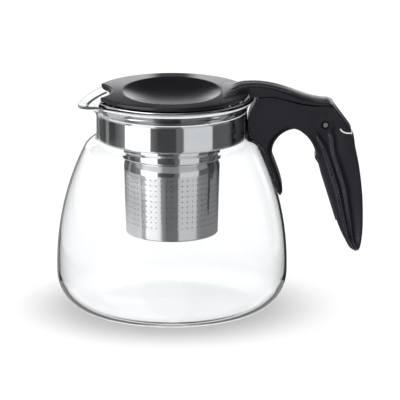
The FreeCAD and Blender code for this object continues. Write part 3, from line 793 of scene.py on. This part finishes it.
# two lines that both run from the tongue's tip to the grip's tip: along the fingers and along the outside
fingerLine = np.array([
    (0.00, 70.5, 75.7), (0.03, 71.8, 79.3), (0.07, 70.8, 85.5), (0.13, 67.7, 95.0), (0.20, 65.0, 104.0),
    (0.26, 66.6, 111.5), (0.32, 72.0, 117.6), (0.38, 79.4, 120.3), (0.45, 86.6, 116.6), (0.51, 90.8, 111.4),
    (0.58, 94.4, 101.5), (0.66, 97.4, 90.0), (0.74, 101.2, 77.8), (0.86, 107.0, 59.0), (0.95, 112.6, 46.0),
    (0.98, 116.0, 40.2), (1.00, 119.6, 37.2)])
outerLine = np.array([
    (0.00, 70.3, 75.8), (0.03, 68.9, 79.3), (0.07, 67.0, 85.5), (0.13, 63.5, 95.0), (0.18, 59.6, 104.0),
    (0.205, 58.1, 107.4), (0.225, 55.5, 110.9), (0.24, 51.6, 113.4), (0.25, 50.1, 116.0), (0.29, 50.1, 127.5),
    (0.315, 52.6, 134.6), (0.325, 54.2, 138.0), (0.333, 54.9, 140.6), (0.34, 55.6, 141.5), (0.36, 57.5, 141.6),
    (0.40, 67.0, 141.8), (0.46, 85.0, 137.2), (0.49, 93.0, 136.2), (0.522, 102.2, 136.0), (0.532, 103.5, 135.3),
    (0.575, 113.2, 121.3), (0.583, 114.3, 119.9), (0.588, 114.5, 118.6), (0.60, 116.8, 116.6),
    (0.64, 119.5, 104.7), (0.69, 121.5, 95.0), (0.74, 123.1, 84.0), (0.82, 124.15, 68.0), (0.92, 123.7, 48.2),
    (0.965, 122.6, 41.6), (0.985, 121.6, 38.8), (1.00, 119.6, 37.2)])
# edge of the seat below the lever's tail, over the near half, drawn as a pale bead: a ledge with a painted
# highlight
seatEdge = np.array([(109.2, -9.6, 121.2), (110.0, -9.9, 119.9), (111.4, -9.9, 119.0), (113.0, -9.75, 118.4),
                     (114.6, -9.3, 118.2), (115.6, -8.2, 117.9), (116.4, -5.0, 117.0), (116.9, 0.0, 116.4)])


# the slot between the cheeks: round the lever's sweep below and behind the pin, open above
def slotOutline():
    mouth = [(129.6, 125.6), (129.6, 153.6), (77, 153), (77, 132.6), (89, 127), (92.2, 119)]
    return np.concatenate([arc(pin[[0, 2]], handle["slotReach"], -104, -8, 16), mouth])


# a round bead along a line of points, each ring square to the line
def beadAlong(path, radius, around=10):
    ahead = np.gradient(path, axis=0)
    ahead /= np.linalg.norm(ahead, axis=1, keepdims=True)
    first = np.cross(ahead, [0.3, 0.2, 1.0])
    first /= np.linalg.norm(first, axis=1, keepdims=True)
    second = np.cross(ahead, first)
    angle = np.linspace(0, 2 * math.pi, around, endpoint=False)[None, :, None]
    points = path[:, None] + radius * (np.cos(angle) * first[:, None] + np.sin(angle) * second[:, None])
    return points, gridFaces(*points.shape[:2], False, True) + [
        list(range(around)), list(range(len(path) * around - 1, (len(path) - 1) * around - 1, -1))]


# the grip's face is ruled between the two lines, and its depth across Y falls off in rounded edges; two
# ridges follow the finger line down the grip, and the tongue slopes away from a ridge along its middle
def makeHandle():
    u = np.linspace(0, 1, handle["stations"])
    finger = curveThrough(fingerLine[:, 0], fingerLine[:, 1:], u)[:, None]
    outer = curveThrough(outerLine[:, 0], outerLine[:, 1:], u)[:, None]
    v = (0.5 - 0.5 * np.cos(np.linspace(0, math.pi, handle["across"])))[None, :, None]
    flat = finger + (outer - finger) * v
    breadth = np.maximum(np.linalg.norm(outer - finger, axis=-1), 1e-3)
    v = v[..., 0]
    barb = handle["barb"] * hump(u, handle["barbSpan"])[:, None] * np.exp(-v * breadth / handle["barbDepth"])
    flat = flat - barb[..., None] * [0.95, 0.3]
    half = np.interp(u, [0.55, 1], [handle["width"] / 2, handle["tipWidth"] / 2])
    half = (half * quarter(ease(u, -0.02, 0.05)) * quarter(ease(1 - u, -0.01, 0.05)))[:, None]
    tongue = (1 - ease(u, *handle["tongueFade"]))[:, None]
    arch = (1 - ease(u, *handle["archFade"]))[:, None]
    fingerRound = np.minimum(mix(handle["fingerRound"], handle["archRound"], arch), 0.48 * breadth)
    outerRound = np.minimum(mix(handle["edgeRound"], handle["tongueRound"], tongue), 0.5 * breadth)
    fromFinger = np.clip(v * breadth / fingerRound, 0, 1)
    fromOuter = np.clip((1 - v) * breadth / outerRound, 0, 1)
    fingerFall, outerFall = handle["deepestRound"]
    depth = half - np.minimum(fingerRound, fingerFall) * (1 - quarter(fromFinger))
    depth = depth - np.minimum(outerRound, outerFall) * (1 - quarter(fromOuter))
    away = v * breadth * np.clip(handle["ridgeBreadth"] / breadth, 1.0, 2.2)
    grip = hump(u, handle["gripSpan"])[:, None]
    (first, firstWidth), (second, secondWidth) = handle["ridges"]
    second = second + handle["ridgeSpread"] * (1 - ease(u, *handle["spreadFade"]))[:, None]
    ridged = np.exp(-(((away - first) / firstWidth) ** 2)) + np.exp(-(((away - second) / secondWidth) ** 2))
    valley = mix(handle["ridgeHeight"], handle["shelfFall"], ease(away, second - 1.5, second + 1.5))
    valley = valley * (1 - ease(away, second + 2.2, second + 11.0))
    offPin = ease(np.hypot(flat[..., 0] - pin[0], flat[..., 1] - pin[2]), *handle["pinClear"])
    depth = depth - grip * offPin * valley * (1 - np.clip(ridged, 0, 1))
    near = spotsAt(flat[..., 0], -np.maximum(depth, 0.05 * half), flat[..., 1])
    far = near[:, ::-1] * [1, -1, 1]
    points = np.concatenate([near, far], 1)
    bend = np.sqrt(np.maximum(jug["bodyRadius"] ** 2 - points[..., 1] ** 2, 0)) - jug["bodyRadius"]
    weight = np.concatenate([v, v[:, ::-1]], 1) * (1 - ease(u, *handle["saddleFade"]))[:, None]
    points[..., 0] += bend * weight * 1.2
    body = addPiece("handle_body_moulded", [gridPart(points, False)], ["handleBlack"], "jug", "handle_black",
                    "handle_body", sharp=50.0)
    axis, side = pin[[0, 2]], handle["width"] / 2
    ring = arc(axis, handle["recessRadius"], 0, 360, 41)[:-1]
    slot, floor, past = handle["slotWidth"] / 2, side - handle["recessDepth"], side + 2
    cutFrom(body, slab(slotOutline(), -slot, slot), slab(ring, -past, -floor), slab(ring, floor, past),
            sharp=42.0)
    # faces in the pin's recesses take a near-black: painted shade where the recess lies in shadow
    body.data.materials.append(finishes["recessPaintedShade"])
    middle = np.zeros(3 * len(body.data.polygons))
    body.data.polygons.foreach_get("center", middle)
    middle = middle.reshape(-1, 3) / mm
    inRecess = np.linalg.norm(middle[:, [0, 2]] - axis, axis=1) < handle["recessRadius"] + 0.02
    inRecess &= np.abs(middle[:, 1]) < side - 0.01
    body.data.polygons.foreach_set("material_index", inRecess.astype(np.int32))
    # a pale bead along the seat's edge: a real ledge whose pale colour is a painted highlight
    edge = np.concatenate([seatEdge, seatEdge[-2::-1] * [1, -1, 1]])
    path = curveThrough(np.arange(len(edge)), edge, np.linspace(0, len(edge) - 1, 90))
    addPiece("handle_seat_edge", [beadAlong(path, handle["seatBead"])], ["seatPaintedHighlight"], "jug", "handle_black")


makeHandle()


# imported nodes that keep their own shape

for name, finish in {"basket_floor": "basketSteel", "lid_screws": "pinSteel", "hinge_pin": "pinSteel",
                     "grip_insert": "handleBlack", "saddle_pad": "padBlack"}.items():
    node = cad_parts[name]
    node.data.materials.clear()
    node.data.materials.append(finishes[finish])


# studio

studio = {
    "elevation": 14.5,
    "azimuth": 0.0,
    "aim": (18.3, 0.0, 71.1),
    "view": 260.4,  # width of the view at the object
    "lens": 550.0,
    "sensor": 36.0,
    "floorSize": 6000.0,
    "floorHeight": -0.3,
    "white": 1.12,
    "floorGlow": 0.45,  # light of the floor itself, and as seen through the glass, where it rises under the jug as a painted pool of light
    "paintedUnderGlow": 1.05,
    "paintedShadowReach": (52.0, 112.0),  # where the floor's painted shadow round the base begins to fade and where it ends
    "paintedShadowTone": (0.22, 0.6),  # how pale the floor is under the jug, darkened there as a painted shadow, and away from it
    "glassBelt": (-27.0, -2.0, 0.35),  # edges and light of the grey belt that outlines the glass
    "darkPatch": (22.0, 0.02),  # half angle and light of the dark patch behind the object, in the glass
    "softPatch": (25.0, 8.0, 0.45),  # outer and inner half angle and light of that patch, in the lid
    "strip": (7.4, 5.6),  # outer and inner half width of the dim strip over the patch
    "twice": 1.1,  # light that reaches a solid by way of another one
    "under": 1.1,  # light that the floor's image in the glass shows
    "glassFaces": (0.5, 2.5, 5.5),  # faces of glass passed: any, those before the steel, and all
    "card": (150.0, 150.0, 7.0, 19.0),  # the lid's card: its place behind, half width, and gap in its middle
    # dark belts in what all but the steel shows, and in the lid alone: from and to round, from and to in
    # height, all in degrees, and their light
    "belts": ((95.0, 158.0, -18.0, -11.5, 0.08), (-158.0, -95.0, -18.0, -11.5, 0.08)),
    "lidBelts": ((140.0, 174.5, -18.0, 4.0, 0.08), (125.0, 174.5, 15.0, 62.0, 0.05),
                 (-174.5, -125.0, 15.0, 62.0, 0.05)),
    # heights in degrees at which one set of bands gives way to the next; the basket leans by its taper, so its
    # reflections lie below the collar's, most of all in front
    "basketHeight": -14.9,
    "basketLean": -1.5,
    "flareHeight": -42.0,
    "grooveHeight": 8.0,
    "rimHeight": 28.0,
    "glassHeight": -45.0,
}

# brightness seen in reflections by the angle round from the camera, in degrees: what the upright collar, the
# tapered basket, the flare and the groove's upturned side see through the glass, and what all else sees
collarBands = [
    (-180, 1.0), (-164, 1.0), (-160, 0.012), (-126, 0.012), (-124, 0.24), (-117, 0.24), (-115, 0.02),
    (-103, 0.03), (-79, 0.2), (-77, 1.7), (-35, 1.7), (-33, 0.10), (-24, 0.07), (-21, 0.03), (6, 0.03),
    (8, 0.13), (18, 0.13), (20, 0.72), (66, 0.72), (68, 0.085), (132, 0.085), (136, 0.012), (160, 0.012),
    (164, 1.0), (180, 1.0),
]
basketBands = [
    (-180, 0.6), (-100, 0.56), (-82, 0.62), (-80, 0.22), (-70, 0.2), (-67, 1.1), (-30, 1.0), (-24, 0.3),
    (-14, 0.12), (15, 0.11), (18, 0.58), (62, 0.58), (66, 0.28), (80, 0.21), (180, 0.24),
]
flareBands = [
    (-180, 0.04), (-150, 0.5), (-120, 0.9), (-104, 0.5), (-96, 0.06), (-84, 0.06), (-72, 0.36), (-38, 0.36),
    (-32, 0.1), (-18, 0.02), (16, 0.015), (20, 0.12), (62, 0.12), (74, 0.015), (84, 0.6), (100, 0.6),
    (140, 0.02), (180, 0.02),
]
plainBands = [
    (-180, 1.0), (-150, 0.8), (-105, 0.6), (-95, 0.5), (-84, 0.5), (-78, 2.0), (-32, 2.0), (-24, 0.5),
    (-8, 0.42), (10, 0.40), (22, 0.06), (40, 0.02), (75, 0.04), (120, 0.5), (150, 0.8), (180, 1.0),
]
grooveBands = [
    (-180, 0.45), (-100, 0.45), (-80, 0.4), (-70, 0.95), (-30, 0.95), (-22, 0.34), (0, 0.26), (16, 0.3),
    (20, 0.6), (62, 0.6), (68, 0.3), (180, 0.3),
]
evenBands = [(-180, 1.0), (180, 1.0)]
# how that brightness changes with height, in degrees above level
steelHeights = [(-90, 1.0), (5, 1.0), (15, 0.8), (40, 0.6), (90, 0.6)]
plainHeights = [
    (-90, 0.6), (-34, 0.9), (-20, 1.0), (0, 1.2), (8, 1.9), (14, 1.3), (20, 0.7), (26, 1.6), (45, 1.8),
    (60, 1.2), (75, 0.4), (90, 0.2),
]
stripHeights = [
    (-90, 2.0), (-25, 2.0), (-14, 1.2), (-9, 0.4), (-6, 0.37), (1.5, 0.32), (7, 0.26), (14.5, 0.10),
    (22, 0.03), (37, 0.03), (43, 0.35), (60, 0.35), (75, 0.2), (90, 0.2),
]
# brightness of the lid's card by its height in millimetres
cardHeights = [
    (140, 1.2), (165, 1.4), (173, 1.6), (177, 1.35), (179.5, 0.45), (182, 0.2), (186, 0.08), (190, 0.03),
    (200, 0.02), (245, 0.02),
]


# greys that follow a value from 0 at the first of several stops of (place, light) to 1 at the last
def addLights(tree, value, stops):
    low, high = stops[0][0], stops[-1][0]
    return addRamp(tree, value, [((place - low) / (high - low), (light, light, light * 1.01))
                                 for place, light in stops])


# the first shader where the amount is 0 and the second where it is 1
def addBlend(tree, amount, first, second):
    return addNode(tree, "MixShader", {0: amount, 1: first, 2: second}).outputs[0]


def setSurface(tree, output, surface):
    setInputs(tree, tree.nodes[output], {"Surface": surface})


# a flat sheet of the stage between four corners in millimetres
def addSheet(name, corners, finish):
    mesh = bpy.data.meshes.new(name)
    mesh.from_pydata((np.array(corners) * mm).tolist(), [], [(0, 1, 2, 3)])
    mesh.materials.append(finish)
    return addObject(name, mesh)


# white all round, with soft boxes and dark flags that only reflections see
def makeWorld():
    world = bpy.data.worlds.new("studio")
    bpy.context.scene.world = world
    world.use_nodes = True
    tree = world.node_tree
    white = tree.nodes["Background"]
    setInputs(tree, white, {"Color": (1, 1, 1, 1), "Strength": studio["white"]})
    toward = addNode(tree, "TexCoord").outputs["Generated"]
    x, y, z = addNode(tree, "SeparateXYZ", {0: toward}).outputs
    azimuth = addMath(tree, "ARCTAN2", x, addMath(tree, "MULTIPLY", y, -1.0))
    turn = addMath(tree, "MULTIPLY_ADD", azimuth, 0.5 / math.pi, 0.5)
    height = addMath(tree, "MULTIPLY_ADD", addMath(tree, "ARCSINE", z), 1 / math.pi, 0.5)
    path = addNode(tree, "LightPath").outputs

    def flatLight(strength):
        return addNode(tree, "Background", {"Strength": strength}).outputs[0]

    def cards(bands, heights=steelHeights):
        return addNode(tree, "Background", {"Color": addLights(tree, turn, bands),
                                            "Strength": addLights(tree, height, heights)}).outputs[0]

    def choose(value, limit, above, below):
        return addBlend(tree, addMath(tree, "GREATER_THAN", value, limit), below, above)

    def level(degrees):
        return 0.5 + degrees / 180

    def over(name, above, below, value=height):
        return choose(value, level(studio[name]), above, below)

    def within(value, low, high):
        return addMath(tree, "MULTIPLY", addMath(tree, "GREATER_THAN", value, low),
                       addMath(tree, "LESS_THAN", value, high))

    def belted(light, belts):
        for left, right, low, high, faint in belts:
            inBelt = addMath(tree, "MULTIPLY", within(turn, 0.5 + left / 360, 0.5 + right / 360),
                             within(height, level(low), level(high)))
            light = choose(inBelt, 0.5, flatLight(faint), light)
        return light

    # steel behind the glass
    flare = cards(flareBands)
    lean = addMath(tree, "COSINE", addMath(tree, "MULTIPLY", azimuth, 0.5))
    leaning = addMath(tree, "MULTIPLY_ADD", lean, -studio["basketLean"] / 180, height)
    steel = over("flareHeight", cards(basketBands), flare)
    steel = over("basketHeight", cards(collarBands), steel, leaning)
    steel = over("grooveHeight", cards(grooveBands), steel)
    steel = over("rimHeight", flare, steel)

    # the glass itself
    tilt = math.radians(studio["elevation"])
    ahead = addNode(tree, "VectorMath", {0: toward, 1: (0, math.cos(tilt), -math.sin(tilt))},
                    operation="DOT_PRODUCT").outputs["Value"]
    plain = belted(cards(plainBands, plainHeights), studio["belts"])
    low, high, faint = studio["glassBelt"]
    glass = choose(within(height, level(low), level(high)), 0.5, flatLight(faint), plain)
    angle, faint = studio["darkPatch"]
    glass = choose(ahead, math.cos(math.radians(angle)), flatLight(faint), glass)
    glass = over("rimHeight", flare, over("glassHeight", glass, flare))

    # lid, arm and handle
    outer, inner, light = studio["softPatch"]
    patch = addSpan(tree, ahead, math.cos(math.radians(outer)), math.cos(math.radians(inner)))
    solid = belted(addBlend(tree, patch, plain, flatLight(light)), studio["lidBelts"])
    outer, inner = studio["strip"]
    behind = addSpan(tree, addMath(tree, "ABSOLUTE", azimuth), math.radians(180 - outer),
                     math.radians(180 - inner))
    solid = addBlend(tree, behind, solid, cards(evenBands, stripHeights))
    seen = choose(path["Glossy Depth"], 1.5, flatLight(studio["twice"]), solid)

    for limit, light in zip(studio["glassFaces"], (glass, steel, flatLight(studio["under"]))):
        seen = choose(path["Transmission Depth"], limit, light, seen)
    setSurface(tree, "World Output", choose(path["Glossy Depth"], 0.5, seen, white.outputs[0]))


# pale floor that takes the shadow, with a painted shadow and a painted pool of light round the jug's base, and
# stays out of reflections
def makeFloor():
    finish, tree, shader = newFinish("paleFloor", {"Emission Color": (1, 1, 1, 1), "Roughness": 0.9,
                                                   "Specular IOR Level": 0.0})
    place = addNode(tree, "TexCoord").outputs["Object"]
    reach = addNode(tree, "VectorMath", {0: place}, operation="LENGTH").outputs["Value"]
    first, last = (radius * mm for radius in studio["paintedShadowReach"])
    path = addNode(tree, "LightPath").outputs
    through = addMath(tree, "GREATER_THAN", path["Transmission Depth"], 0.5)
    # seen through the glass, the floor glows more towards the jug's base: a painted pool of light
    paintedGlow = addSpan(tree, reach, first, last, studio["paintedUnderGlow"] - studio["floorGlow"], 0.0)
    # the base colour darkens towards the jug's base: a painted shadow
    setInputs(tree, shader, {
        "Emission Strength": addMath(tree, "MULTIPLY_ADD", through, paintedGlow, studio["floorGlow"]),
        "Base Color": addSpan(tree, reach, first, last, *studio["paintedShadowTone"])})
    clear = addNode(tree, "BsdfTransparent").outputs[0]
    reflected = addMath(tree, "GREATER_THAN", path["Glossy Depth"], 0.5)
    setSurface(tree, "Material Output", addBlend(tree, reflected, shader.outputs[0], clear))
    half, level = studio["floorSize"] / 2, studio["floorHeight"]
    corners = [(-half, -half, level), (half, -half, level), (half, half, level), (-half, half, level)]
    floor = addSheet("floor", corners, finish)


# a graded card behind the lid that only reflections see, with a gap in its middle for the dish
def makeCard():
    away, half, gapInner, gapOuter = studio["card"]
    low, high = cardHeights[0][0], cardHeights[-1][0]
    finish, tree, _ = newFinish("lidCard")
    x, _, z = addNode(tree, "SeparateXYZ", {0: addNode(tree, "TexCoord").outputs["Object"]}).outputs
    rise = addMath(tree, "MULTIPLY_ADD", z, 1 / mm / (high - low), -low / (high - low))
    glow = addNode(tree, "Emission", {"Color": addLights(tree, rise, cardHeights)}).outputs[0]
    aside = addSpan(tree, addMath(tree, "ABSOLUTE", x), gapInner * mm, gapOuter * mm)
    path = addNode(tree, "LightPath").outputs
    direct = addMath(tree, "LESS_THAN", path["Transmission Depth"], 0.5)
    clear = addNode(tree, "BsdfTransparent").outputs[0]
    setSurface(tree, "Material Output", addBlend(tree, addMath(tree, "MULTIPLY", aside, direct), clear, glow))
    corners = [(-half, away, low), (half, away, low), (half, away, high), (-half, away, high)]
    card = addSheet("card", corners, finish)
    card.visible_camera = card.visible_diffuse = card.visible_transmission = card.visible_shadow = False


# long lens, so that the view is nearly parallel, as in the photograph
def makeCamera():
    camera = bpy.data.cameras.new("camera")
    camera.lens = studio["lens"]
    camera.sensor_width = studio["sensor"]
    camera.clip_end = 50.0
    holder = addObject("camera", camera)
    tilt, turn = math.radians(studio["elevation"]), math.radians(studio["azimuth"])
    back = np.array([math.sin(turn) * math.cos(tilt), -math.cos(turn) * math.cos(tilt), math.sin(tilt)])
    distance = studio["lens"] * studio["view"] / studio["sensor"]
    holder.location = (np.array(studio["aim"]) + back * distance) * mm
    holder.rotation_euler = (math.pi / 2 - tilt, 0, turn)
    bpy.context.scene.camera = holder


makeWorld()
makeFloor()
makeCard()
makeCamera()
bpy.context.scene.view_settings.view_transform = "Standard"
print("studio ready")
